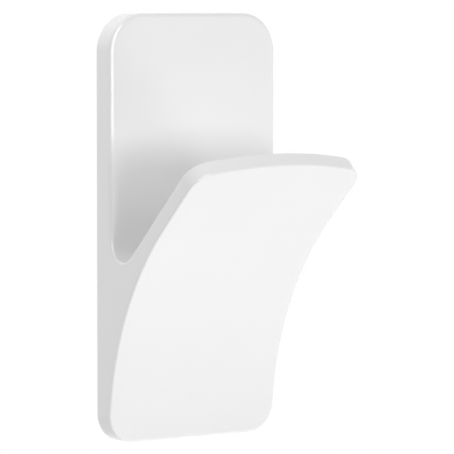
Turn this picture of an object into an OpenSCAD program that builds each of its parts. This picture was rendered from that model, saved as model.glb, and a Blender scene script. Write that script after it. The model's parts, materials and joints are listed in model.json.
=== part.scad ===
// Adhesive wall hook: a moulded hook that slides down over a flat base, and the
// stretch-release strip that holds the base on the wall.
// The wall is the plane y = 0. The hook faces -Y, Z is up and X runs to the viewer's right.
// The origin is on the wall, behind the middle of the plate. Depths are distances from the wall.

/* [Hook plate] */
// Width of the plate
plate_w = 38; // [34:0.5:42]
// Height of the plate
plate_h = 80; // [76:1:90]
// Radius of the plate's top corners
corner_r = 7.2; // [5:0.2:9]
// Radius of the plate's bottom corners
low_corner_r = 5.4; // [4:0.2:7]
// Radius of the plate's front edge
edge_r = 0.9; // [0.5:0.1:1.4]
// Thickness of the wall in front of the base
front_wall_t = 2.1; // [1.6:0.1:2.6]
// Thickness of the skirt round the plate's back
skirt_t = 1.6; // [1.2:0.1:2]
// Gap between the skirt and the wall
rim_gap = 0.4; // [0.2:0.1:0.6]
// Thickness of the hook at its bottom edge
foot_edge_t = 4; // [3.6:0.1:4.6]

/* [Tongue] */
// Radius of the concave front, from the bottom edge up
front_arc_r = 56; // [53:0.5:60]
// Lean of the tongue's flat end from the vertical
tongue_lean = 46.5; // [44:0.5:50]
// Thickness of the tongue's flat end
tongue_t = 3.2; // [2.6:0.1:3.8]
// Radius of the groove that a strap or loop hangs in
groove_r = 3.5; // [2.8:0.1:4]
// Length of the tongue from the groove's middle to its tip
tongue_len = 28.7; // [24:0.1:34]
// Radius of the tip's shallow crown
tip_crown_r = 72; // [60:1:110]
// Radius of the tip's corners
tip_corner_r = 4.5; // [3:0.5:7]

/* [Cored root] */
// Thickness of the walls round the hollow root
root_wall_t = 2.4; // [2:0.1:3]
// Number of ribs in the hollow root
rib_count = 4; // [3:1:5]
// Thickness of each rib
rib_t = 1.4; // [1:0.1:1.8]

/* [Sliding fit] */
// Clearance between the hook and the base
slide_gap = 0.2; // [0.15:0.05:0.3]
// Reach of the hook's lips behind the base's flanges
lip_reach = 3.3; // [2.6:0.1:3.8]
// Height of the lips
lip_h = 16; // [12:0.5:20]
// Distance from the top of the cavity down to the lips
lip_drop = 6.4; // [5:0.2:8]
// Rise of the lips past the base's top, where the hook comes off
lift_clear = 0.6; // [0.3:0.1:1.2]
// Room below the base's head when the hook is fully raised
end_gap = 1; // [0.5:0.1:2]
// Width of the mouth at the bottom on each side of the strip
mouth_margin = 1; // [0.6:0.1:1.6]

/* [Base] */
// Thickness of the base's foot, which the strip sticks to
base_foot_t = 1; // [0.8:0.1:1.4]
// Thickness of the base's flanges, which the lips hold
flange_t = 1; // [0.8:0.1:1.4]
// Height of the base's wide head
head_h = 44.4; // [40:0.2:47]
// Height of the base's narrow tail
tail_h = 16; // [12:0.5:18]
// Extra radius of the base's top corners over the cavity's
corner_ease = 1.4; // [0.6:0.1:2]
// Radius of the base's lower corners
base_low_r = 2; // [1:0.5:3]

/* [Strip] */
// Width of the strip
strip_w = 20; // [16:0.2:23]
// Distance from the base's top down to the strip
strip_drop = 4.4; // [3:0.2:6]
// Distance from the end of the sticky part down to the end of the base's tail
strip_margin = 2; // [1:0.2:3]
// Radius of the strip's top corners
strip_corner_r = 3; // [1:0.5:5]
// Thickness of each adhesive layer
adhesive_t = 0.1; // [0.08:0.01:0.15]
// Thickness of the elastic core
core_t = 0.8; // [0.6:0.05:1]
// Length of the tab below the base's tail
tab_len = 12; // [11:0.5:16]
// Length of the film that is folded round the tab
film_len = 10; // [6:0.5:12]
// Thickness of the tab's film
film_t = 0.08; // [0.04:0.01:0.08]

/* [Hidden] */
$fn = 180;

// Overrun of the cuts past the surfaces that they open
cut_over = 1;
// Overlap of the blocks that the hook is made of
block_over = 2;

// Depths of the layers, from the wall out
strip_d = 2 * adhesive_t + core_t;
flange_d = strip_d + base_foot_t;
base_d = flange_d + flange_t;
ceiling_d = base_d + slide_gap;
front_d = ceiling_d + front_wall_t;
lip_d = flange_d - slide_gap;
mouth_d = flange_d + slide_gap;
foot_d = rim_gap + foot_edge_t;

// Heights
plate_top = plate_h / 2;
plate_low = -plate_h / 2;
cavity_top = plate_top - skirt_t;
head_low = cavity_top - head_h;
tail_low = head_low - tail_h;
lip_top = cavity_top - lip_drop;
lip_low = lip_top - lip_h;
slide_travel = cavity_top - lip_low + lift_clear;
cavity_low = head_low - slide_travel - end_gap;
strip_top = cavity_top - strip_drop;
sticky_low = tail_low + strip_margin;
tab_low = tail_low - tab_len;

// Half widths
half_w = plate_w / 2;
cavity_x = half_w - skirt_t;
flange_x = cavity_x - slide_gap;
lip_x = cavity_x - lip_reach;
foot_x = lip_x - slide_gap;
strip_x = strip_w / 2;
mouth_x = strip_x + mouth_margin;
tail_x = mouth_x - slide_gap;

// Tongue, as points [depth, z]: along runs up the flat end, across runs from its front to its rear
along = [sin(tongue_lean), cos(tongue_lean)];
across = [-cos(tongue_lean), sin(tongue_lean)];
arc_c = [foot_d + front_arc_r, plate_low];
arc_end = arc_c + front_arc_r * [-cos(tongue_lean), sin(tongue_lean)];
rear_end = arc_end + tongue_t * across;
groove_d = front_d + groove_r;
groove_z = rear_end[1] + (groove_r - (groove_d - rear_end[0]) * across[0]) / across[1];
groove_c = [groove_d, groove_z];
rear_start = groove_c - groove_r * across;
flat_start = (rear_end - rear_start) * along;

// Tip, in the tongue's own plane: the corner arcs touch the crown and the sides
crown_c = tongue_len - tip_crown_r;
tip_corner_x = half_w - tip_corner_r;
tip_corner_s = crown_c + sqrt(pow(tip_crown_r - tip_corner_r, 2) - pow(tip_corner_x, 2));
crown_fan = tip_crown_r / (tip_crown_r - tip_corner_r) * (1 + cut_over / tip_crown_r);

// Corners
cavity_corner_r = corner_r - skirt_t;
base_corner_r = cavity_corner_r + corner_ease;

// Hollow root
root_top = groove_z - groove_r - root_wall_t;
cell_w = (2 * cavity_x - rib_count * rib_t) / (rib_count + 1);

// Extrudes a side profile, drawn as [depth, z], across the hook
module across_prism(width) {
    rotate([90, 0, -90]) linear_extrude(height = width, center = true) children();
}

// Extrudes a front outline, drawn as [x, z], between two depths
module depth_slab(near, far) {
    translate([0, -near, 0]) rotate([90, 0, 0]) linear_extrude(height = far - near) children();
}

// Rectangle given by its half width and its two heights
module band(half, low, high) {
    translate([-half, low]) square([2 * half, high - low]);
}

// Rectangle with its two top corners rounded
module round_top_band(half, low, high, r) {
    band(half, low, high - r);
    band(half - r, low, high);
    for (side = [-1, 1]) translate([side * (half - r), high - r]) circle(r);
}

// Rectangle with its two bottom corners rounded
module round_low_band(half, low, high, r) {
    mirror([0, 1]) round_top_band(half, -high, -low, r);
}

// Side profile of the hook below the groove: the front arc, the groove and the tongue's root
module root_profile() {
    difference() {
        polygon([[rim_gap, plate_low], arc_c, arc_end, rear_end + block_over * along, rear_start, groove_c,
                 [front_d, groove_z], [rim_gap, groove_z + block_over]]);
        translate(arc_c) circle(front_arc_r);
        translate(groove_c) circle(groove_r);
    }
}

// Outline of the tongue's flat end in its own plane, with crown and corners
module tip_outline() {
    band(half_w, flat_start, tip_corner_s);
    for (side = [-1, 1]) translate([side * tip_corner_x, tip_corner_s]) circle(tip_corner_r);
    intersection() {
        translate([0, crown_c]) circle(tip_crown_r);
        polygon([[0, crown_c], crown_fan * [tip_corner_x, tip_corner_s - crown_c] + [0, crown_c],
                 [0, tongue_len + tip_crown_r],
                 crown_fan * [-tip_corner_x, tip_corner_s - crown_c] + [0, crown_c]]);
        band(half_w, flat_start, tongue_len + cut_over);
    }
}

// Flat end of the tongue, from the end of the front arc to the tip
module tongue_end() {
    translate([0, -groove_d, groove_z]) rotate([90 + tongue_lean, 0, 0])
        translate([0, 0, groove_r]) linear_extrude(height = tongue_t) tip_outline();
}

// Plate above the groove
module plate_slab() {
    depth_slab(rim_gap, front_d - edge_r) round_top_band(half_w, groove_z, plate_top, corner_r);
    depth_slab(rim_gap, front_d)
        round_top_band(half_w - edge_r, groove_z, plate_top - edge_r, corner_r - edge_r);
    translate([0, edge_r - front_d, 0]) {
        translate([corner_r - half_w, 0, plate_top - edge_r]) rotate([0, 90, 0])
            cylinder(r = edge_r, h = plate_w - 2 * corner_r);
        for (side = [0, 1]) mirror([side, 0, 0]) {
            translate([half_w - edge_r, 0, groove_z])
                cylinder(r = edge_r, h = plate_top - corner_r - groove_z);
            translate([half_w - corner_r, 0, plate_top - corner_r]) rotate([90, 0, 0])
                rotate_extrude(angle = 90) translate([corner_r - edge_r, 0]) circle(edge_r);
        }
    }
}

// Root of the hook, rounded at the plate's bottom corners
module root_block() {
    intersection() {
        across_prism(plate_w) root_profile();
        depth_slab(0, arc_c[0]) round_low_band(half_w, plate_low, rear_end[1] + block_over, low_corner_r);
    }
}

// Room for the base behind the plate, with the lips left standing at its sides
module base_room() {
    depth_slab(lip_d, ceiling_d) round_top_band(cavity_x, cavity_low, cavity_top, cavity_corner_r);
    depth_slab(0, lip_d) difference() {
        round_top_band(cavity_x, cavity_low, cavity_top, cavity_corner_r);
        for (side = [-1, 1]) translate([side * (lip_x + cavity_x), 0]) band(cavity_x, lip_low, lip_top);
    }
    depth_slab(0, mouth_d) band(mouth_x, plate_low - cut_over, cavity_low + cut_over);
}

// One cell of the hollow root
module root_cell() {
    across_prism(cell_w) difference() {
        polygon([[base_d, cavity_low], [arc_c[0], cavity_low],
                 [arc_c[0], root_top], [base_d, root_top]]);
        translate(arc_c) circle(front_arc_r + root_wall_t);
    }
}

module hook_body() {
    color([0.94, 0.94, 0.94]) difference() {
        union() {
            plate_slab();
            root_block();
            tongue_end();
        }
        base_room();
        for (i = [0:rib_count])
            translate([(i - rib_count / 2) * (cell_w + rib_t), 0, 0]) root_cell();
    }
}

// Outline of the base: a wide head over a narrow tail
module base_head(half) {
    intersection() {
        round_top_band(flange_x, head_low, cavity_top, base_corner_r);
        round_low_band(half, head_low, cavity_top + cut_over, base_low_r);
    }
}

module mounting_base() {
    color([0.88, 0.89, 0.9]) {
        depth_slab(flange_d, base_d) base_head(flange_x);
        depth_slab(strip_d, flange_d) {
            base_head(foot_x);
            round_low_band(tail_x, tail_low, head_low + base_low_r, base_low_r);
        }
    }
}

// One layer of the strip
module strip_layer(near, far, low) {
    depth_slab(near, far) round_top_band(strip_x, low, strip_top, strip_corner_r);
}

module base_adhesive() {
    color([0.86, 0.87, 0.8]) strip_layer(adhesive_t + core_t, strip_d, sticky_low);
}

module strip_core() {
    color([0.97, 0.97, 0.95]) strip_layer(adhesive_t, adhesive_t + core_t, tab_low);
}

module wall_adhesive() {
    color([0.86, 0.87, 0.8]) strip_layer(0, adhesive_t, sticky_low);
}

// Film folded round the lower end of the core
module pull_tab_film() {
    color([0.55, 0.62, 0.68]) difference() {
        depth_slab(adhesive_t - film_t, adhesive_t + core_t + film_t)
            band(strip_x, tab_low - film_t, tab_low + film_len);
        depth_slab(adhesive_t, adhesive_t + core_t)
            band(strip_x + cut_over, tab_low, tab_low + film_len + cut_over);
    }
}

hook_body();
mounting_base();
base_adhesive();
strip_core();
wall_adhesive();
pull_tab_film();
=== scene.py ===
"""Adhesive wall hook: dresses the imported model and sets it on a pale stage.

The wall is the plane y = 0. The hook faces -Y, Z is up and X runs to the viewer's right.
Depths are distances from the wall, so a depth is -y, and side profiles are drawn as (depth, z).
"""
import json
from math import asin, atan2, cos, pi, radians, sin, sqrt

import bmesh
import bpy
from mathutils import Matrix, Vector


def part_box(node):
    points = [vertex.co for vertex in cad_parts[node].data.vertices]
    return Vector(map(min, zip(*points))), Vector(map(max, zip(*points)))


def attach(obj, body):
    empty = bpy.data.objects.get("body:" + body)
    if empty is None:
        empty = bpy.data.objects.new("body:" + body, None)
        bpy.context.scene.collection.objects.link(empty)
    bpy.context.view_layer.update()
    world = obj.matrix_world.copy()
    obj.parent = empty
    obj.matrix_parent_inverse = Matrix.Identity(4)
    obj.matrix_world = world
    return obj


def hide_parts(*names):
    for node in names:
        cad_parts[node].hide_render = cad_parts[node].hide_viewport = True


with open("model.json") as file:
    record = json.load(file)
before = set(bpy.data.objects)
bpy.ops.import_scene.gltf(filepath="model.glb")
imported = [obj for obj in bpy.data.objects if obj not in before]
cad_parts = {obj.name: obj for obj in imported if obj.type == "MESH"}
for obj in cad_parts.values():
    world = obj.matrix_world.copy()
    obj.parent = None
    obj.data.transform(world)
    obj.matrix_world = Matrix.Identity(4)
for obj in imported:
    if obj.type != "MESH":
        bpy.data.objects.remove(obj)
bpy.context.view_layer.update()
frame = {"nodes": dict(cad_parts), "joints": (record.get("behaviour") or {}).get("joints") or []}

bl_info = {
    "name": "Adhesive wall hook",
    "version": (1, 0, 0),
    "blender": (4, 5, 0),
    "location": "View3D > Sidebar > Wall hook",
    "description": "Builds a wall hook, its base and its adhesive strip over the packed model",
    "category": "Add Mesh",
}

MM = 0.001

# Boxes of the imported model
HOOK_LOW, HOOK_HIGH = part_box("hook_body")
BASE_LOW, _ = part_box("mounting_base")
CORE_LOW, CORE_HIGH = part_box("strip_core")
FILM_LOW, FILM_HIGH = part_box("pull_tab_film")

# Mesh density: faces across a skin, along each of its runs, and round corners, edges and cuts
COLUMNS = 28
PLATE_ROWS = 24
GROOVE_ROWS = 28
TONGUE_ROWS = 12
FRONT_ARC_ROWS = 40
FRONT_FLAT_ROWS = 8
CORNER_STEPS = 12
EDGE_STEPS = 4
CUT_STEPS = 8
CELL_STEPS = 16
FOLD_STEPS = 16
BEVEL_STEPS = 3
FLOOR_STEPS = 96

# Edges that turn by more than this stay sharp in the shading
SHARP_ANGLE = radians(32)
# Faces that meet at less than this are one flat face
FLAT_ANGLE = radians(1)
# Weight of the large faces in the shading
FLAT_WEIGHT = 100
# A run that turns by less than this, in radians, counts as straight
LEAST_TURN = 1e-9

# Lamps: azimuth and elevation in degrees, distance and width in metres
LAMP_PLACES = {
    "front": (0, 0, 0.85, 0.25),
    "front_high": (0, 20, 0.85, 0.25),
    "front_right": (60, -30, 0.85, 0.25),
    "rear_left": (-155, 30, 0.85, 0.6),
    "near_left": (-40, 0, 0.35, 0.25),
    "near_top_left": (-100, 60, 0.35, 0.25),
    "near_below": (-100, -78, 0.35, 0.25),
}

# Card that only shows in reflections: azimuth in degrees, the rest in metres
CARD_AZIMUTH = -38
CARD_DISTANCE = 0.6
CARD_WIDTH = 0.585
CARD_HEIGHT = 1.1
CARD_LOW = -0.007

# Share of pure white in the floor as the camera sees it
FLOOR_PALENESS = 0.75
# Shares of the floor's radius between which it fades out
FADE_START = 0.35
FADE_END = 0.95
# Nearest and farthest distance that the camera shows, in metres
CAMERA_NEAR = 0.01
CAMERA_FAR = 10

WHITE = (1, 1, 1, 1)
PLASTIC_IOR = 1.5
ADHESIVE_IOR = 1.47

# Gap that keeps two cut faces from lying in one plane
HAIR = 0.01 * MM
# Overlap of two cutters that open into each other
LAP = 10 * HAIR
# Points closer than this are one point
SAME_POINT = 0.1 * HAIR
# Overrun of a cutter past the surface that it opens
OVERRUN = 1 * MM


def length(name, description, default):
    """A size that a user may change, in metres."""
    return bpy.props.FloatProperty(
        name=name, description=description, default=default, unit="LENGTH", precision=5
    )


def angle(name, description, degrees):
    """An angle that a user may change."""
    return bpy.props.FloatProperty(
        name=name, description=description, default=radians(degrees), subtype="ANGLE"
    )


def colour(name, description, default):
    """A linear colour that a user may change."""
    return bpy.props.FloatVectorProperty(
        name=name, description=description, default=default, subtype="COLOR", size=3, min=0, max=1
    )


def power(name, description, watts):
    """A lamp's power that a user may change."""
    return bpy.props.FloatProperty(name=name, description=description, default=watts, unit="POWER")


class HookSizes(bpy.types.PropertyGroup):
    """Sizes and colour of the moulded hook."""

    corner_r: length("Top corner", "Radius of the plate's top corners", 7.2 * MM)
    low_corner_r: length("Bottom corner", "Radius of the plate's bottom corners", 5.4 * MM)
    plate_edge_r: length("Plate edge", "Radius of the plate's front edge", 1 * MM)
    edge_fade: length("Edge fade", "Run above the groove from which the plate's edge narrows", 12.5 * MM)
    groove_edge_r: length("Groove edge", "Radius of the edges of groove and tongue", 0.32 * MM)
    front_edge_r: length("Front edge", "Radius of the edges of the concave front", 0.4 * MM)
    rim_edge_r: length("Rim edge", "Radius of the edges of the rim at the wall", 0.25 * MM)
    front_arc_r: length("Front arc", "Radius of the concave front", 56 * MM)
    tongue_lean: angle("Tongue lean", "Lean of the tongue's flat end from the vertical", 46.5)
    tongue_t: length("Tongue thickness", "Thickness of the tongue's flat end", 3.2 * MM)
    groove_r: length("Groove", "Radius of the groove that a strap hangs in", 3.5 * MM)
    crown_r: length("Tip crown", "Radius of the tip's shallow crown", 72 * MM)
    tip_front_r: length("Tip front corner", "Radius of the tip's corners on the front", 4.5 * MM)
    tip_rear_r: length("Tip rear corner", "Radius of the tip's corners on the rear", 4.5 * MM)
    front_wall_t: length("Front wall", "Thickness of the wall in front of the base", 2.1 * MM)
    skirt_t: length("Skirt", "Thickness of the skirt round the back", 1.6 * MM)
    slide_gap: length("Slide gap", "Clearance between the hook and the base", 0.2 * MM)
    foot_t: length("Bottom edge", "Thickness of the hook at its bottom edge", 4 * MM)
    flange_t: length("Flange", "Thickness of the flanges that the lips hold", 1 * MM)
    lip_reach: length("Lip reach", "Reach of the lips behind the flanges", 3.3 * MM)
    lip_h: length("Lip height", "Height of the lips", 16 * MM)
    lip_drop: length("Lip drop", "Distance from the top of the recess to the lips", 6.4 * MM)
    head_h: length("Base head", "Height of the base's wide head", 44.4 * MM)
    end_gap: length("End gap", "Room below the base's head when the hook is raised", 1 * MM)
    mouth_margin: length("Mouth margin", "Width of the mouth on each side of the strip", 1 * MM)
    floor_fillet: length("Recess fillet", "Radius in the corner of the recess", 0.3 * MM)
    root_wall_t: length("Root wall", "Thickness of the walls round the hollow root", 2.4 * MM)
    rib_t: length("Rib", "Thickness of each rib in the hollow root", 1.4 * MM)
    rib_count: bpy.props.IntProperty(
        name="Ribs", description="Number of ribs in the hollow root", default=4, min=1
    )
    plastic: colour("Hook plastic", "Colour of the glossy hook", (0.87, 0.87, 0.87))


class StripSizes(bpy.types.PropertyGroup):
    """Sizes and colours of the base and the strip."""

    base_edge_r: length("Base edge", "Radius of the base's edges", 0.15 * MM)
    core_edge_r: length("Core edge", "Radius of the edges of the elastic core", 0.08 * MM)
    plastic: colour("Base plastic", "Colour of the satin base", (0.72, 0.735, 0.75))
    adhesive: colour("Adhesive", "Colour of the tacky layers", (0.72, 0.74, 0.62))
    core: colour("Core", "Colour of the elastic core", (0.86, 0.86, 0.83))
    film: colour("Film", "Colour of the tab's film", (0.3, 0.4, 0.47))
    film_band: colour("Film band", "Colour of the bands on the film", (0.42, 0.52, 0.58))


class StageSettings(bpy.types.PropertyGroup):
    """Camera, lights and floor."""

    azimuth: angle("Azimuth", "Camera's turn round the hook, to the left below zero", -36.2546)
    elevation: angle("Elevation", "Camera's height over the horizon", 3.5963)
    distance: length("Distance", "Distance from the camera to the point it aims at", 670.61 * MM)
    aim: bpy.props.FloatVectorProperty(
        name="Aim",
        description="Point that the camera aims at",
        default=(7.423 * MM, -5.480 * MM, -0.463 * MM),
        subtype="TRANSLATION",
    )
    lens: bpy.props.FloatProperty(
        name="Lens", description="Focal length in millimetres", default=280.55, subtype="DISTANCE_CAMERA"
    )
    floor_drop: length("Floor", "Distance from the hook's middle down to the floor", 750 * MM)
    floor_r: length("Floor radius", "Radius of the floor", 1500 * MM)
    floor: colour("Floor colour", "Colour of the floor", (0.86, 0.86, 0.86))
    ambient: bpy.props.FloatProperty(
        name="Ambient", description="Strength of the light from all round", default=0.363
    )
    front: power("Front lamp", "Power of the soft lamp in front", 2.06)
    front_high: power("High front lamp", "Power of the soft lamp higher in front", 0.94)
    front_right: power("Front right lamp", "Power of the soft lamp in front on the right", 1.83)
    rear_left: power("Rear left lamp", "Power of the soft lamp behind on the left", 3.66)
    near_left: power("Near left lamp", "Power of the small lamp close on the left", 0.06)
    near_top_left: power("Near top lamp", "Power of the small lamp close above on the left", 0.342)
    near_below: power("Near low lamp", "Power of the small lamp close below", 0.355)
    card: power("Card", "Power of the card that only shows in reflections", 11.5)


# Shader maths

class Signal:
    """A shader socket that takes part in Python arithmetic: each operation adds a Math node."""

    def __init__(self, tree, socket=None):
        self.tree = tree
        self.socket = socket

    def add(self, kind, settings=None, sockets=None, output=0):
        """Adds any node from its type, its settings and its sockets' values or links."""
        node = self.tree.nodes.new(kind)
        for name, value in (settings or {}).items():
            if name == "stops":
                self.set_stops(node.color_ramp, value)
            else:
                setattr(node, name, value)
        for name, value in (sockets or {}).items():
            if isinstance(value, Signal):
                self.tree.links.new(value.socket, node.inputs[name])
            else:
                node.inputs[name].default_value = value
        return Signal(self.tree, node.outputs[output]) if node.outputs else None

    @staticmethod
    def set_stops(ramp, stops):
        """Sets a ramp's stops from pairs of place and grey level."""
        while len(ramp.elements) < len(stops):
            ramp.elements.new(1)
        for element, (place, level) in zip(ramp.elements, stops):
            element.position = place
            element.color = (level, level, level, 1)

    def maths(self, operation, first, second):
        """Adds a Math node for two values or signals."""
        return self.add("ShaderNodeMath", {"operation": operation}, {0: first, 1: second})

    def __add__(self, other):
        return self.maths("ADD", self, other)

    def __radd__(self, other):
        return self.maths("ADD", other, self)

    def __sub__(self, other):
        return self.maths("SUBTRACT", self, other)

    def __rsub__(self, other):
        return self.maths("SUBTRACT", other, self)

    def __mul__(self, other):
        return self.maths("MULTIPLY", self, other)

    def __rmul__(self, other):
        return self.maths("MULTIPLY", other, self)

    def __truediv__(self, other):
        return self.maths("DIVIDE", self, other)

    def __rtruediv__(self, other):
        return self.maths("DIVIDE", other, self)

    def larger(self, other):
        """The larger of two signals."""
        return self.maths("MAXIMUM", self, other)

    def between(self, low, high):
        """The low number where this value is 0 and the high one where it is 1."""
        return low + (high - low) * self

    def blend(self, first, second):
        """The first colour where this value is 0 and the second where it is 1.

        The Mix node's sockets go by number, because its names repeat for each kind of data.
        """
        return self.add(
            "ShaderNodeMix", {"data_type": "RGBA"}, {0: self, 6: first, 7: second}, output=2
        )


def opaque(rgb, level=1.0):
    """A colour as the shader sockets take it, made lighter or darker."""
    return (rgb[0] * level, rgb[1] * level, rgb[2] * level, 1)


def new_material(name):
    """An empty material and a signal to start its nodes from."""
    made = bpy.data.materials.new(name)
    made.use_nodes = True
    made.node_tree.nodes.clear()
    return made, Signal(made.node_tree)


def set_surface(start, surface):
    """Makes a shader the material's surface."""
    start.add("ShaderNodeOutputMaterial", {}, {"Surface": surface})


def set_finish(start, tone, roughness, normal, ior=PLASTIC_IOR):
    """Ends a material in one principled shader."""
    surface = start.add(
        "ShaderNodeBsdfPrincipled",
        {},
        {"Base Color": tone, "Roughness": roughness, "IOR": ior, "Normal": normal},
    )
    set_surface(start, surface)


def object_place(start):
    """Places in the piece's own frame."""
    return start.add("ShaderNodeTexCoord", output="Object")


def object_noise(start, place, scale, detail=2.0, roughness=0.5):
    """Noise in the piece's own frame. The scale is in cells per metre."""
    return start.add(
        "ShaderNodeTexNoise",
        {},
        {"Vector": place, "Scale": scale, "Detail": detail, "Roughness": roughness},
    )


def bumped(start, height, distance):
    """A normal from a height between 0 and 1, with the real height of 1 as its distance."""
    return start.add("ShaderNodeBump", {}, {"Height": height, "Distance": distance, "Strength": 1.0})


def gloss_hook_plastic(rgb):
    """Glossy white moulding: an even colour, faint flow clouds and a very fine skin."""
    made, start = new_material("gloss_hook_plastic")
    place = object_place(start)
    cloud = object_noise(start, place, scale=45)
    skin = object_noise(start, place, scale=700, detail=1.0)
    tone = cloud.blend(opaque(rgb, level=0.985), opaque(rgb, level=1.015))
    roughness = cloud.between(0.04, 0.07)
    normal = bumped(start, skin, distance=0.002 * MM)
    set_finish(start, tone, roughness, normal)
    return made


def satin_base_plastic(rgb):
    """Satin moulding with the fine spark texture of its tool."""
    made, start = new_material("satin_base_plastic")
    place = object_place(start)
    grain = object_noise(start, place, scale=4200, detail=3.0, roughness=0.6)
    cloud = object_noise(start, place, scale=60)
    mottle = 0.6 * cloud + 0.4 * grain
    tone = mottle.blend(opaque(rgb, level=0.95), opaque(rgb, level=1.04))
    roughness = grain.between(0.4, 0.6)
    normal = bumped(start, grain, distance=0.012 * MM)
    set_finish(start, tone, roughness, normal)
    return made


def tacky_adhesive(rgb):
    """Clear tacky layer, slightly yellow, with the ripple that the liner leaves."""
    made, start = new_material("tacky_adhesive")
    place = object_place(start)
    ripple = object_noise(start, place, scale=900)
    cloud = object_noise(start, place, scale=150)
    tone = cloud.blend(opaque(rgb, level=0.9), opaque(rgb, level=1.06))
    roughness = ripple.between(0.22, 0.52)
    normal = bumped(start, ripple, distance=0.02 * MM)
    set_finish(start, tone, roughness, normal, ADHESIVE_IOR)
    return made


def elastic_core(rgb):
    """Matte white elastomer with fine closed cells."""
    made, start = new_material("elastic_core")
    place = object_place(start)
    cells = start.add("ShaderNodeTexVoronoi", {}, {"Vector": place, "Scale": 2600})
    cloud = object_noise(start, place, scale=300)
    mottle = 0.5 * cloud + 0.5 * cells
    tone = mottle.blend(opaque(rgb, level=1.02), opaque(rgb, level=0.9))
    roughness = cloud.between(0.62, 0.82)
    normal = bumped(start, cells, distance=0.03 * MM)
    set_finish(start, tone, roughness, normal)
    return made


def banded_film(rgb, band_rgb):
    """Smooth grey-blue film with plain slanting bands."""
    made, start = new_material("banded_film")
    place = object_place(start)
    bands = start.add(
        "ShaderNodeTexWave",
        {"wave_type": "BANDS", "bands_direction": "DIAGONAL"},
        {"Vector": place, "Scale": 90.0, "Distortion": 0.0},
        output="Fac",
    )
    band_edge = [(0.47, 0.0), (0.53, 1.0)]
    mask = start.add("ShaderNodeValToRGB", {"stops": band_edge}, {"Fac": bands})
    haze = object_noise(start, place, scale=500)
    tone = mask.blend(opaque(rgb), opaque(band_rgb))
    roughness = haze.between(0.28, 0.46)
    normal = bumped(start, haze, distance=0.008 * MM)
    set_finish(start, tone, roughness, normal)
    return made


def shown_rays(start):
    """1 for what the camera sees, also in reflections and through clear things, and 0 for light."""
    rays = start.tree.nodes.new("ShaderNodeLightPath")
    seen, glossy, through = [
        Signal(start.tree, rays.outputs[name])
        for name in ("Is Camera Ray", "Is Glossy Ray", "Is Transmission Ray")
    ]
    return seen.larger(glossy).larger(through)


def pale_floor(rgb, radius):
    """Floor that is paler to the camera than its light makes it, and fades out before its edge."""
    made, start = new_material("pale_floor")
    place = object_place(start)
    reach = start.add("ShaderNodeVectorMath", {"operation": "LENGTH"}, {0: place}, output="Value")
    fade = start.add(
        "ShaderNodeMapRange",
        {"interpolation_type": "SMOOTHSTEP"},
        {"Value": reach, "From Min": FADE_START * radius, "From Max": FADE_END * radius},
    )
    matte = start.add("ShaderNodeBsdfDiffuse", {}, {"Color": opaque(rgb)})
    white = start.add("ShaderNodeEmission", {}, {"Color": WHITE, "Strength": 1.0})
    shown = shown_rays(start)
    paler = start.add("ShaderNodeMixShader", {}, {0: FLOOR_PALENESS * shown, 1: matte, 2: white})
    clear = start.add("ShaderNodeBsdfTransparent")
    surface = start.add("ShaderNodeMixShader", {}, {0: fade, 1: paler, 2: clear})
    set_surface(start, surface)
    return made


# Meshes

def link_mesh(name, vertices, faces):
    """A new object at the origin with this mesh."""
    mesh = bpy.data.meshes.new(name)
    mesh.from_pydata([tuple(vertex) for vertex in vertices], [], faces)
    mesh.update()
    made = bpy.data.objects.new(name, mesh)
    bpy.context.scene.collection.objects.link(made)
    return made


def turn_faces_out(piece):
    """Merges doubled points and turns the faces of a closed mesh outwards."""
    shape = bmesh.new()
    shape.from_mesh(piece.data)
    bmesh.ops.remove_doubles(shape, verts=shape.verts, dist=SAME_POINT)
    bmesh.ops.recalc_face_normals(shape, faces=shape.faces)
    shape.to_mesh(piece.data)
    shape.free()


def settle_modifiers(piece):
    """Makes a piece's evaluated shape its plain mesh."""
    depsgraph = bpy.context.evaluated_depsgraph_get()
    evaluated = piece.evaluated_get(depsgraph)
    settled = bpy.data.meshes.new_from_object(
        evaluated, preserve_all_data_layers=True, depsgraph=depsgraph
    )
    piece.modifiers.clear()
    unsettled = piece.data
    piece.data = settled
    bpy.data.meshes.remove(unsettled)
    settled.name = piece.name


def cut_away(piece, cutter):
    """Takes a closed cutter out of a closed piece."""
    modifier = piece.modifiers.new("cut", "BOOLEAN")
    modifier.operation = "DIFFERENCE"
    modifier.solver = "EXACT"
    modifier.object = cutter
    settle_modifiers(piece)
    bpy.data.objects.remove(cutter)


def smooth_piece(piece):
    """Smooth shading that keeps the true edges and leaves the flat faces flat."""
    for face in piece.data.polygons:
        face.use_smooth = True
    piece.data.set_sharp_from_angle(angle=SHARP_ANGLE)
    modifier = piece.modifiers.new("flat faces", "WEIGHTED_NORMAL")
    modifier.keep_sharp = True
    modifier.weight = FLAT_WEIGHT
    settle_modifiers(piece)


def paint(piece, material):
    """Gives all of a piece one material."""
    piece.data.materials.clear()
    piece.data.materials.append(material)
    for face in piece.data.polygons:
        face.material_index = 0


def enter(piece, body, node):
    """Ties a finished piece to the body, and hides the node that it stands for."""
    if not piece.data.polygons:
        raise RuntimeError(f"{piece.name} came out empty")
    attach(piece, body)
    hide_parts(node)


def loft(name, loops):
    """A closed mesh through loops of equal length, with flat ends."""
    count = len(loops[0])
    vertices = [point for loop in loops for point in loop]
    faces = [tuple(range(count))]
    for ring in range(len(loops) - 1):
        first = ring * count
        for k in range(count):
            after = (k + 1) % count
            faces.append((first + k, first + after, first + count + after, first + count + k))
    last = (len(loops) - 1) * count
    faces.append(tuple(last + k for k in range(count)))
    made = link_mesh(name, vertices, faces)
    turn_faces_out(made)
    return made


def at_depth(outline, depth):
    """An outline drawn as (x, z), at a depth from the wall."""
    return [Vector((x, -depth, z)) for x, z in outline]


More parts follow.
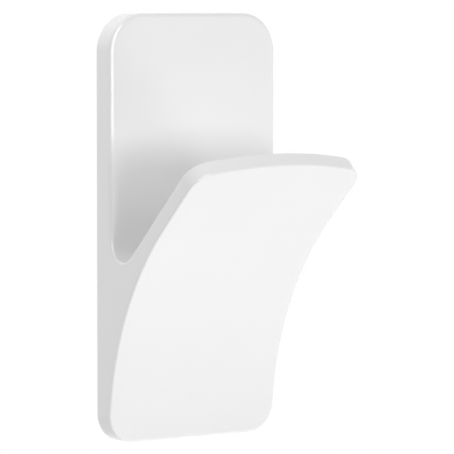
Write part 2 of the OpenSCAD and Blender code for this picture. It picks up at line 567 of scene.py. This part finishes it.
def round_top_outline(half, low, high, radius):
    """A rectangle with its top corners rounded, as (x, z)."""
    outline = [(-half, low), (half, low)]
    for side, first in ((1, 0), (-1, pi / 2)):
        for k in range(CUT_STEPS + 1):
            turn = first + k * pi / 2 / CUT_STEPS
            outline.append(
                (side * (half - radius) + radius * cos(turn), high - radius + radius * sin(turn))
            )
    return outline


# Side profiles

class SidePath:
    """A side profile of straight runs and arcs, read by the length from its start.

    The heading is the angle of travel from the vertical towards the front. The face side is 1
    where the surface faces away from the wall on an upward run, and -1 where it faces the other way.
    """

    def __init__(self, depth, z, heading, face_side):
        self.runs = [(0.0, depth, z, heading, 0.0)]
        self.face_side = face_side
        self.total = 0.0

    def extend(self, run_length, turn=0.0):
        """Adds a run that turns by an angle over its length."""
        start, depth, z, heading, _ = self.runs[-1]
        self.runs[-1] = (start, depth, z, heading, turn / run_length)
        self.total += run_length
        end_depth, end_z, end_heading = self.read(self.total)
        self.runs.append((self.total, end_depth, end_z, end_heading, 0.0))

    def read(self, s):
        """Depth, z and heading at a length from the start."""
        start, depth, z, heading, bend = next(
            run for run in reversed(self.runs) if run[0] <= s or run is self.runs[0]
        )
        step = s - start
        if abs(bend) * abs(step) < LEAST_TURN:
            return depth + step * sin(heading), z + step * cos(heading), heading
        turned = heading + bend * step
        return (
            depth + (cos(heading) - cos(turned)) / bend,
            z + (sin(turned) - sin(heading)) / bend,
            turned,
        )

    def point(self, x, s):
        """Place at a length from the start, at a distance from the middle."""
        depth, z, _ = self.read(s)
        return Vector((x, -depth, z))

    def along(self, s):
        """Direction of travel."""
        heading = self.read(s)[2]
        return Vector((0, -sin(heading), cos(heading)))

    def outward(self, s):
        """Direction that the surface faces."""
        heading = self.read(s)[2]
        return self.face_side * Vector((0, -cos(heading), -sin(heading)))


class Row:
    """One row of a skin: where its right end lies on the outline, and how the edge runs there.

    The lean is the angle of the outline's outward normal: 0 at the straight side, a right angle
    at the far end. The bow is 1 where the row follows the tip's crown and 0 where it is straight.
    """

    def __init__(self, x, s, lean, edge_r, bow=0.0):
        self.x = x
        self.s = s
        self.lean = lean
        self.edge_r = edge_r
        self.bow = bow


def corner_rows(centre_x, centre_s, radius, first_lean, last_lean, edge_r, bows=(0.0, 0.0)):
    """Rows round a corner of the outline."""
    rows = []
    for k in range(CORNER_STEPS + 1):
        share = k / CORNER_STEPS
        lean = first_lean + share * (last_lean - first_lean)
        rows.append(
            Row(
                centre_x + radius * cos(lean),
                centre_s + radius * sin(lean),
                lean,
                edge_r,
                bows[0] + share * (bows[1] - bows[0]),
            )
        )
    return rows


def spread(first, last, count):
    """Values from first to last, both included."""
    return [first + (last - first) * k / count for k in range(count + 1)]


class Skin:
    """A sheet over a side path, with rounded edges that reach down to the walls beside it."""

    def __init__(self, path, rows, vertices, faces, crown_r=None, flat=False):
        self.path = path
        self.rows = rows
        self.vertices = vertices
        self.faces = faces
        self.crown_r = crown_r
        self.flat = flat
        self.build()

    def row_points(self, row):
        """Places (x, s) across a row, inside the rounded edge, and their outward leans."""
        inner_x = row.x - row.edge_r * cos(row.lean)
        inner_s = row.s - row.edge_r * sin(row.lean)
        for k in range(COLUMNS + 1):
            x = inner_x * (2 * k / COLUMNS - 1)
            s = inner_s
            lean = pi - row.lean if k == 0 else row.lean
            if self.crown_r:
                arc = self.crown_r - row.edge_r
                s += row.bow * (sqrt(arc**2 - x**2) - sqrt(arc**2 - inner_x**2))
            if 0 < k < COLUMNS:
                lean = self.end_lean(row, x)
            yield x, s, lean

    def end_lean(self, row, x):
        """Lean of the outline's normal at a place on the first or last row."""
        if self.crown_r and row.bow:
            return pi / 2 - asin(x / (self.crown_r - row.edge_r))
        return row.lean

    def build(self):
        """Adds the sheet and its rounded edges to the shared points and faces."""
        grid = [list(self.row_points(row)) for row in self.rows]
        last = len(self.rows) - 1
        border = [(i, 0) for i in range(last + 1)]
        border += [(last, k) for k in range(1, COLUMNS + 1)]
        border += [(i, COLUMNS) for i in range(last - 1, -1, -1)]
        border += [(0, k) for k in range(COLUMNS - 1, 0, -1)]
        kept = set(border)
        if not self.flat:
            kept.update((i, k) for i in range(last + 1) for k in range(COLUMNS + 1))
        numbers = {}
        for i, k in sorted(kept):
            x, s, _ = grid[i][k]
            numbers[i, k] = len(self.vertices)
            self.vertices.append(self.path.point(x, s))
        if self.flat:
            self.faces.append(tuple(numbers[place] for place in border))
        else:
            for i in range(last):
                for k in range(COLUMNS):
                    corners = ((i, k), (i, k + 1), (i + 1, k + 1), (i + 1, k))
                    self.faces.append(tuple(numbers[place] for place in corners))
        self.rim = self.round_edges(grid, border, numbers)

    def round_edges(self, grid, border, numbers):
        """Adds the rounded edge and returns the numbers of its outermost points."""
        rings = [[numbers[place] for place in border]]
        for step in range(1, EDGE_STEPS + 1):
            turn = step * pi / 2 / EDGE_STEPS
            ring = []
            for i, k in border:
                x, s, lean = grid[i][k]
                radius = self.rows[i].edge_r
                up = self.path.outward(s)
                out = Vector((cos(lean), 0, 0)) + sin(lean) * self.path.along(s)
                centre = self.path.point(x, s) - radius * up
                ring.append(len(self.vertices))
                self.vertices.append(centre + radius * (cos(turn) * up + sin(turn) * out))
            rings.append(ring)
        for lower, upper in zip(rings, rings[1:]):
            for k in range(len(border)):
                after = (k + 1) % len(border)
                self.faces.append((lower[k], lower[after], upper[after], upper[k]))
        return dict(zip(border, rings[-1]))

    def end_rim(self, at_last):
        """Outermost points round one end, corners included, from left to right."""
        last = len(self.rows) - 1
        end = last if at_last else 0
        step = -1 if at_last else 1
        corner = [end + step * k for k in range(CORNER_STEPS + 1)]
        left = [self.rim[i, 0] for i in reversed(corner)]
        right = [self.rim[i, COLUMNS] for i in corner]
        return left + [self.rim[end, k] for k in range(1, COLUMNS)] + right

    def side_rim(self, column):
        """Outermost points of one straight side, in the path's order."""
        last = len(self.rows) - 1
        return [self.rim[i, column] for i in range(CORNER_STEPS, last - CORNER_STEPS + 1)]


def join_rims(faces, first, second):
    """A wall between two rims of equal length."""
    for k in range(len(first) - 1):
        faces.append((first[k], first[k + 1], second[k + 1], second[k]))


# Shape of the moulded hook

class HookShape:
    """Places on the hook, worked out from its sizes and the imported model's boxes."""

    def __init__(self, sizes):
        self.sizes = sizes
        self.half_w = HOOK_HIGH.x
        self.top = HOOK_HIGH.z
        self.low = HOOK_LOW.z
        self.rim_d = -HOOK_HIGH.y
        self.base_d = -BASE_LOW.y
        self.ceiling_d = self.base_d + sizes.slide_gap
        self.front_d = self.ceiling_d + sizes.front_wall_t
        self.foot_d = self.rim_d + sizes.foot_t
        self.flange_d = self.base_d - sizes.flange_t
        self.lip_d = self.flange_d - sizes.slide_gap
        self.mouth_d = self.flange_d + sizes.slide_gap
        self.recess_x = self.half_w - sizes.skirt_t
        self.recess_top = self.top - sizes.skirt_t
        self.lip_x = self.recess_x - sizes.lip_reach
        self.lip_top = self.recess_top - sizes.lip_drop
        self.lip_low = self.lip_top - sizes.lip_h
        self.mouth_x = CORE_HIGH.x + sizes.mouth_margin
        self.place_tongue()
        self.place_tip()
        self.place_recess()

    def place_tongue(self):
        """Where the concave front, the groove and the tongue's flat end meet."""
        sizes = self.sizes
        lean = sizes.tongue_lean
        self.arc_d = self.foot_d + sizes.front_arc_r
        rear_r = sizes.front_arc_r + sizes.tongue_t
        rear_end_d = self.arc_d - rear_r * cos(lean)
        rear_end_z = self.low + rear_r * sin(lean)
        self.groove_d = self.front_d + sizes.groove_r
        rise = (sizes.groove_r + (self.groove_d - rear_end_d) * cos(lean)) / sin(lean)
        self.groove_z = rear_end_z + rise
        rear_start_d = self.groove_d + sizes.groove_r * cos(lean)
        rear_start_z = self.groove_z - sizes.groove_r * sin(lean)
        along_d = (rear_end_d - rear_start_d) * sin(lean)
        along_z = (rear_end_z - rear_start_z) * cos(lean)
        self.flat_start = along_d + along_z
        reach = -HOOK_LOW.y
        across = (sizes.groove_r + sizes.tongue_t) * cos(lean)
        self.tongue_len = (reach - self.groove_d - across) / sin(lean)

    def place_tip(self):
        """Centre of the tip's crown, along the tongue's flat end."""
        self.crown_s = self.tongue_len - self.sizes.crown_r

    def place_recess(self):
        """Where the hollow root ends above, and where the recess ends below."""
        sizes = self.sizes
        travel = frame["joints"][0]["range_m"][1]
        self.root_top = self.groove_z - sizes.groove_r - sizes.root_wall_t
        self.recess_low = self.recess_top - sizes.head_h - travel - sizes.end_gap

    def tip_corner(self, radius):
        """Place of a tip corner's centre, and the lean at which it meets the crown."""
        x = self.half_w - radius
        rise = sqrt((self.sizes.crown_r - radius) ** 2 - x**2)
        return x, self.crown_s + rise, atan2(rise, x)

    def edge_r_at(self, share):
        """Radius of the plate's front edge, which narrows on its way down and round the groove."""
        wide, narrow = self.sizes.plate_edge_r, self.sizes.groove_edge_r
        share = min(1, max(0, share))
        return wide + (narrow - wide) * share * share * (3 - 2 * share)


def groove_skin(shape, vertices, faces):
    """Plate front, groove and the tongue's rear, in one sheet from the top down and out."""
    sizes = shape.sizes
    lean = sizes.tongue_lean
    plate_run = shape.top - shape.groove_z
    groove_turn = pi - lean
    path = SidePath(shape.front_d, shape.top, pi, -1)
    path.extend(plate_run)
    path.extend(sizes.groove_r * groove_turn, -groove_turn)
    tongue_start = path.total
    fade_start = plate_run - sizes.edge_fade
    path.extend(shape.tongue_len)
    corner_r = sizes.corner_r
    rows = corner_rows(shape.half_w - corner_r, corner_r, corner_r, -pi / 2, 0, sizes.plate_edge_r)
    tip_x, tip_s, tip_lean = shape.tip_corner(sizes.tip_rear_r)
    stops = spread(corner_r, plate_run, PLATE_ROWS)[1:]
    stops += spread(plate_run, tongue_start, GROOVE_ROWS)[1:]
    stops += spread(tongue_start, tongue_start + tip_s, TONGUE_ROWS)[1:-1]
    for s in stops:
        edge_r = shape.edge_r_at((s - fade_start) / (tongue_start - fade_start))
        rows.append(Row(shape.half_w, s, 0, edge_r))
    rows += corner_rows(
        tip_x, tongue_start + tip_s, sizes.tip_rear_r, 0, tip_lean, sizes.groove_edge_r, (0, 1)
    )
    return Skin(path, rows, vertices, faces, sizes.crown_r)


def front_skin(shape, vertices, faces):
    """The concave front, from the bottom edge up to the tip."""
    sizes = shape.sizes
    path = SidePath(shape.foot_d, shape.low, 0, 1)
    arc_run = sizes.front_arc_r * sizes.tongue_lean
    path.extend(arc_run, sizes.tongue_lean)
    path.extend(shape.tongue_len - shape.flat_start)
    tip_x, tip_s, tip_lean = shape.tip_corner(sizes.tip_front_r)
    tip_s += arc_run - shape.flat_start
    corner_r = sizes.low_corner_r
    rows = corner_rows(shape.half_w - corner_r, corner_r, corner_r, -pi / 2, 0, sizes.front_edge_r)
    stops = spread(corner_r, arc_run, FRONT_ARC_ROWS)[1:]
    stops += spread(arc_run, tip_s, FRONT_FLAT_ROWS)[1:-1]
    rows += [Row(shape.half_w, s, 0, sizes.front_edge_r) for s in stops]
    rows += corner_rows(tip_x, tip_s, sizes.tip_front_r, 0, tip_lean, sizes.front_edge_r, (0, 1))
    return Skin(path, rows, vertices, faces, sizes.crown_r)


def rim_skin(shape, vertices, faces):
    """The flat rim at the wall, before the recess is cut into it."""
    sizes = shape.sizes
    path = SidePath(shape.rim_d, shape.low, 0, -1)
    total = shape.top - shape.low
    path.extend(total)
    low_r, top_r = sizes.low_corner_r, sizes.corner_r
    rows = corner_rows(shape.half_w - low_r, low_r, low_r, -pi / 2, 0, sizes.rim_edge_r)
    rows += corner_rows(shape.half_w - top_r, total - top_r, top_r, 0, pi / 2, sizes.rim_edge_r)
    return Skin(path, rows, vertices, faces, flat=True)


def hook_blank(shape):
    """The hook as a solid, before its back is hollowed."""
    vertices = []
    faces = []
    groove = groove_skin(shape, vertices, faces)
    front = front_skin(shape, vertices, faces)
    rim = rim_skin(shape, vertices, faces)
    join_rims(faces, groove.end_rim(True), front.end_rim(True))
    join_rims(faces, groove.end_rim(False), rim.end_rim(True))
    join_rims(faces, front.end_rim(False), rim.end_rim(False))
    for column in (0, COLUMNS):
        side = groove.side_rim(column)
        side += reversed(front.side_rim(column))
        side += rim.side_rim(column)
        faces.append(tuple(side))
    blank = link_mesh("hook_skin", vertices, faces)
    turn_faces_out(blank)
    return blank


def recess_outline(shape, grow, lips):
    """Outline of the recess, grown by an offset, with or without the lips at its sides."""
    half = shape.recess_x + grow
    low = shape.recess_low - grow
    high = shape.recess_top + grow
    radius = shape.sizes.corner_r - shape.sizes.skirt_t + grow
    outline = round_top_outline(half, low, high, radius)
    if not lips:
        return outline
    lip_x = shape.lip_x + grow
    lip_low = shape.lip_low + grow
    lip_top = shape.lip_top - grow
    right = [(half, lip_low), (lip_x, lip_low), (lip_x, lip_top), (half, lip_top)]
    left = [(-x, z) for x, z in reversed(right)]
    return outline[:2] + right + outline[2:] + left


def rim_rounding(shape):
    """Pairs of depth and outward offset that round the mouth of a cut in the rim."""
    radius = shape.sizes.rim_edge_r
    steps = [(shape.rim_d - OVERRUN, radius)]
    for k in range(EDGE_STEPS + 1):
        turn = k * pi / 2 / EDGE_STEPS
        steps.append((shape.rim_d + radius * (1 - cos(turn)), radius * (1 - sin(turn))))
    return steps


def recess_mouth_cutter(shape):
    """The recess from the wall to the front of the lips, with its rim rounded."""
    steps = rim_rounding(shape) + [(shape.lip_d + LAP, 0)]
    loops = [at_depth(recess_outline(shape, grow - HAIR, True), depth) for depth, grow in steps]
    return loft("recess_mouth", loops)


def recess_floor_cutter(shape):
    """The recess from the front of the lips to its floor, with the floor's corner rounded."""
    radius = shape.sizes.floor_fillet
    steps = [(shape.lip_d, 0)]
    for k in range(EDGE_STEPS + 1):
        turn = k * pi / 2 / EDGE_STEPS
        steps.append((shape.ceiling_d - radius * (1 - sin(turn)), -radius * (1 - cos(turn))))
    loops = [at_depth(recess_outline(shape, grow, False), depth) for depth, grow in steps]
    return loft("recess_floor", loops)


def tab_mouth_cutter(shape):
    """The mouth at the bottom that the strip's tab can be reached through."""
    high = shape.recess_low + OVERRUN
    loops = []
    for depth, grow in rim_rounding(shape) + [(shape.mouth_d, 0)]:
        half = shape.mouth_x + grow
        low = shape.low - OVERRUN
        loops.append(at_depth([(-half, low), (half, low), (half, high), (-half, high)], depth))
    return loft("tab_mouth", loops)


def root_cell(shape, width):
    """One cell of the hollow root, in the middle of the hook."""
    near_d = shape.ceiling_d - LAP
    reach = shape.sizes.front_arc_r + shape.sizes.root_wall_t
    low_turn = asin(sqrt(reach**2 - (shape.arc_d - near_d) ** 2) / reach)
    top_turn = asin((shape.root_top - shape.low) / reach)
    profile = [
        (shape.arc_d - reach * cos(turn), shape.low + reach * sin(turn))
        for turn in spread(low_turn, top_turn, CELL_STEPS)
    ]
    profile.append((near_d, shape.root_top))
    loops = [[Vector((x, -d, z)) for d, z in profile] for x in (-width / 2, width / 2)]
    return loft("root_cells", loops)


def row_tree():
    """Geometry Nodes that repeat a shape in a centred row across the hook."""
    tree = bpy.data.node_groups.new("centred_row", "GeometryNodeTree")
    inputs = {"Shape": "Geometry", "Count": "Int", "Pitch": "Float", "Material": "Material"}
    for name, kind in inputs.items():
        tree.interface.new_socket(name, in_out="INPUT", socket_type="NodeSocket" + kind)
    tree.interface.new_socket("Row", in_out="OUTPUT", socket_type="NodeSocketGeometry")
    start = Signal(tree)
    given = tree.nodes.new("NodeGroupInput")
    shape, count, pitch, material = [Signal(tree, given.outputs[name]) for name in inputs]
    first = start.add("ShaderNodeCombineXYZ", {}, {"X": (1 - count) * pitch * 0.5})
    step = start.add("ShaderNodeCombineXYZ", {}, {"X": pitch})
    line = start.add(
        "GeometryNodeMeshLine",
        {"mode": "OFFSET"},
        {"Count": count, "Start Location": first, "Offset": step},
    )
    row = start.add("GeometryNodeInstanceOnPoints", {}, {"Points": line, "Instance": shape})
    solid = start.add("GeometryNodeRealizeInstances", {}, {"Geometry": row})
    painted = start.add("GeometryNodeSetMaterial", {}, {"Geometry": solid, "Material": material})
    start.add("NodeGroupOutput", {}, {"Row": painted})
    return tree


def repeat_in_row(piece, count, pitch, material):
    """Repeats a piece's mesh in a centred row."""
    modifier = piece.modifiers.new("row", "NODES")
    modifier.node_group = row_tree()
    values = {"Count": count, "Pitch": pitch, "Material": material}
    for item in modifier.node_group.interface.items_tree:
        if item.in_out == "INPUT" and item.name in values:
            modifier[item.identifier] = values[item.name]
    settle_modifiers(piece)


# Pieces of the base and the strip

def bevelled_copy(node, name, radius):
    """A merged copy of a CAD node with its edges rounded."""
    mesh = frame["nodes"][node].data.copy()
    shape = bmesh.new()
    shape.from_mesh(mesh)
    bmesh.ops.remove_doubles(shape, verts=shape.verts, dist=HAIR)
    bmesh.ops.dissolve_limit(
        shape, angle_limit=FLAT_ANGLE, verts=shape.verts, edges=shape.edges
    )
    edges = [edge for edge in shape.edges if edge.calc_face_angle(0) > SHARP_ANGLE]
    bmesh.ops.bevel(
        shape,
        geom=edges,
        offset=radius,
        segments=BEVEL_STEPS,
        profile=0.5,
        affect="EDGES",
        clamp_overlap=True,
    )
    shape.to_mesh(mesh)
    shape.free()
    made = bpy.data.objects.new(name, mesh)
    bpy.context.scene.collection.objects.link(made)
    return made


def folded_film():
    """The film that is folded round the lower end of the core, with a round fold."""
    outer_r = (FILM_HIGH.y - FILM_LOW.y) / 2
    film_t = CORE_LOW.z - FILM_LOW.z
    middle_y = (FILM_HIGH.y + FILM_LOW.y) / 2
    fold_z = FILM_LOW.z + outer_r
    profile = []
    outside = (outer_r, spread(pi, 2 * pi, FOLD_STEPS))
    inside = (outer_r - film_t, spread(2 * pi, pi, FOLD_STEPS))
    for radius, turns in (outside, inside):
        bend = [(middle_y + radius * cos(turn), fold_z + radius * sin(turn)) for turn in turns]
        profile += [(bend[0][0], FILM_HIGH.z)] + bend + [(bend[-1][0], FILM_HIGH.z)]
    loops = [[Vector((x, y, z)) for y, z in profile] for x in (FILM_LOW.x, FILM_HIGH.x)]
    return loft("tab_film_fold", loops)


# Stage

def direction(azimuth, elevation):
    """Unit vector from the hook towards a place round it: azimuth 0 is straight in front."""
    return Vector(
        (sin(azimuth) * cos(elevation), -cos(azimuth) * cos(elevation), sin(elevation))
    )


def place_camera(settings):
    """The camera, at its distance from the point that it aims at."""
    data = bpy.data.cameras.new("camera")
    data.lens = settings.lens
    camera = bpy.data.objects.new("camera", data)
    bpy.context.scene.collection.objects.link(camera)
    back = direction(settings.azimuth, settings.elevation)
    camera.location = Vector(settings.aim) + settings.distance * back
    camera.rotation_mode = "QUATERNION"
    camera.rotation_quaternion = (-back).to_track_quat("-Z", "Y")
    data.clip_start = CAMERA_NEAR
    data.clip_end = CAMERA_FAR
    bpy.context.scene.camera = camera


def place_surroundings(settings):
    """White where the camera and reflections see it, dimmer as a light."""
    world = bpy.data.worlds.new("pale_surroundings")
    world.use_nodes = True
    world.node_tree.nodes.clear()
    start = Signal(world.node_tree)
    strength = settings.ambient + (1 - settings.ambient) * shown_rays(start)
    light = start.add("ShaderNodeBackground", {}, {"Color": WHITE, "Strength": strength})
    start.add("ShaderNodeOutputWorld", {}, {"Surface": light})
    bpy.context.scene.world = world


def place_lamp(name, watts, azimuth, elevation, distance, width, height=None):
    """A soft lamp that faces the hook's middle and isn't itself seen."""
    data = bpy.data.lights.new(name, "AREA")
    data.energy = watts
    data.shape = "RECTANGLE"
    data.size = width
    data.size_y = height or width
    lamp = bpy.data.objects.new(name, data)
    bpy.context.scene.collection.objects.link(lamp)
    towards = direction(radians(azimuth), radians(elevation))
    lamp.location = distance * towards
    lamp.rotation_mode = "QUATERNION"
    lamp.rotation_quaternion = (-towards).to_track_quat("-Z", "Y")
    lamp.visible_camera = False
    return lamp


def place_lamps(settings):
    """Soft lamps that light the hook, and a card that the plate's rounded edge reflects."""
    for name, (azimuth, elevation, distance, width) in LAMP_PLACES.items():
        lamp = place_lamp(name, getattr(settings, name), azimuth, elevation, distance, width)
        lamp.visible_glossy = False
    # The card stands upright, with its lower edge just under the hook's middle
    card = place_lamp("card", settings.card, CARD_AZIMUTH, 0, CARD_DISTANCE, CARD_WIDTH, CARD_HEIGHT)
    card.location.z = CARD_LOW + CARD_HEIGHT / 2
    card.visible_diffuse = False


def place_floor(settings):
    """A round pale floor below the hook."""
    shape = bmesh.new()
    bmesh.ops.create_circle(shape, cap_ends=True, segments=FLOOR_STEPS, radius=settings.floor_r)
    mesh = bpy.data.meshes.new("floor")
    shape.to_mesh(mesh)
    shape.free()
    floor = bpy.data.objects.new("floor", mesh)
    bpy.context.scene.collection.objects.link(floor)
    floor.location = (0, 0, -settings.floor_drop)
    paint(floor, pale_floor(settings.floor, settings.floor_r))


# Operators and panel

class HOOK_OT_moulding(bpy.types.Operator):
    """Builds the moulded hook: plate, groove, tongue, hollow back, lips and ribs"""

    bl_idname = "wall_hook.moulding"
    bl_label = "Moulded hook"

    def execute(self, context):
        sizes = context.scene.hook_sizes
        shape = HookShape(sizes)
        plastic = gloss_hook_plastic(sizes.plastic)
        hook = hook_blank(shape)
        pitch = (2 * shape.recess_x + sizes.rib_t) / (sizes.rib_count + 1)
        cells = root_cell(shape, pitch - sizes.rib_t - 2 * HAIR)
        repeat_in_row(cells, sizes.rib_count + 1, pitch, plastic)
        cut_away(hook, recess_mouth_cutter(shape))
        cut_away(hook, recess_floor_cutter(shape))
        cut_away(hook, tab_mouth_cutter(shape))
        cut_away(hook, cells)
        smooth_piece(hook)
        paint(hook, plastic)
        enter(hook, "hook", "hook_body")
        return {"FINISHED"}


class HOOK_OT_base(bpy.types.Operator):
    """Builds the flat base that the hook slides over"""

    bl_idname = "wall_hook.base"
    bl_label = "Base"

    def execute(self, context):
        sizes = context.scene.strip_sizes
        base = bevelled_copy("mounting_base", "base_moulding", sizes.base_edge_r)
        smooth_piece(base)
        paint(base, satin_base_plastic(sizes.plastic))
        enter(base, "base", "mounting_base")
        return {"FINISHED"}


class HOOK_OT_strip(bpy.types.Operator):
    """Builds the strip: its elastic core, the folded film, and the finish of the two tacky layers"""

    bl_idname = "wall_hook.strip"
    bl_label = "Strip"

    def execute(self, context):
        sizes = context.scene.strip_sizes
        core = bevelled_copy("strip_core", "strip_core_band", sizes.core_edge_r)
        smooth_piece(core)
        paint(core, elastic_core(sizes.core))
        enter(core, "base", "strip_core")
        film = folded_film()
        smooth_piece(film)
        paint(film, banded_film(sizes.film, sizes.film_band))
        enter(film, "base", "pull_tab_film")
        adhesive = tacky_adhesive(sizes.adhesive)
        for node in ("base_adhesive", "wall_adhesive"):
            paint(frame["nodes"][node], adhesive)
        return {"FINISHED"}


class HOOK_OT_stage(bpy.types.Operator):
    """Sets up the camera, the soft lamps, the pale surroundings and the floor"""

    bl_idname = "wall_hook.stage"
    bl_label = "Stage"

    def execute(self, context):
        settings = context.scene.stage_settings
        context.scene.view_settings.view_transform = "Standard"
        place_camera(settings)
        place_surroundings(settings)
        place_lamps(settings)
        place_floor(settings)
        return {"FINISHED"}


class HOOK_PT_panel(bpy.types.Panel):
    """Lists the sizes and the steps that build the wall hook"""

    bl_idname = "HOOK_PT_panel"
    bl_label = "Wall hook"
    bl_space_type = "VIEW_3D"
    bl_region_type = "UI"
    bl_category = "Wall hook"

    def draw(self, context):
        for operator in OPERATORS:
            self.layout.operator(operator.bl_idname)
        for group in ("hook_sizes", "strip_sizes", "stage_settings"):
            settings = getattr(context.scene, group)
            column = self.layout.column()
            for name in settings.__annotations__:
                column.prop(settings, name)


OPERATORS = (HOOK_OT_moulding, HOOK_OT_base, HOOK_OT_strip, HOOK_OT_stage)
CLASSES = (HookSizes, StripSizes, StageSettings, *OPERATORS, HOOK_PT_panel)


def register():
    """Adds the operators, the panel and the settings to Blender."""
    for made in CLASSES:
        bpy.utils.register_class(made)
    bpy.types.Scene.hook_sizes = bpy.props.PointerProperty(type=HookSizes)
    bpy.types.Scene.strip_sizes = bpy.props.PointerProperty(type=StripSizes)
    bpy.types.Scene.stage_settings = bpy.props.PointerProperty(type=StageSettings)


def unregister():
    """Takes them out again."""
    del bpy.types.Scene.stage_settings
    del bpy.types.Scene.strip_sizes
    del bpy.types.Scene.hook_sizes
    for made in reversed(CLASSES):
        bpy.utils.unregister_class(made)


def main():
    """Builds the pieces and the stage."""
    register()
    bpy.ops.wall_hook.moulding()
    bpy.ops.wall_hook.base()
    bpy.ops.wall_hook.strip()
    bpy.ops.wall_hook.stage()


if __name__ == "__main__":
    main()
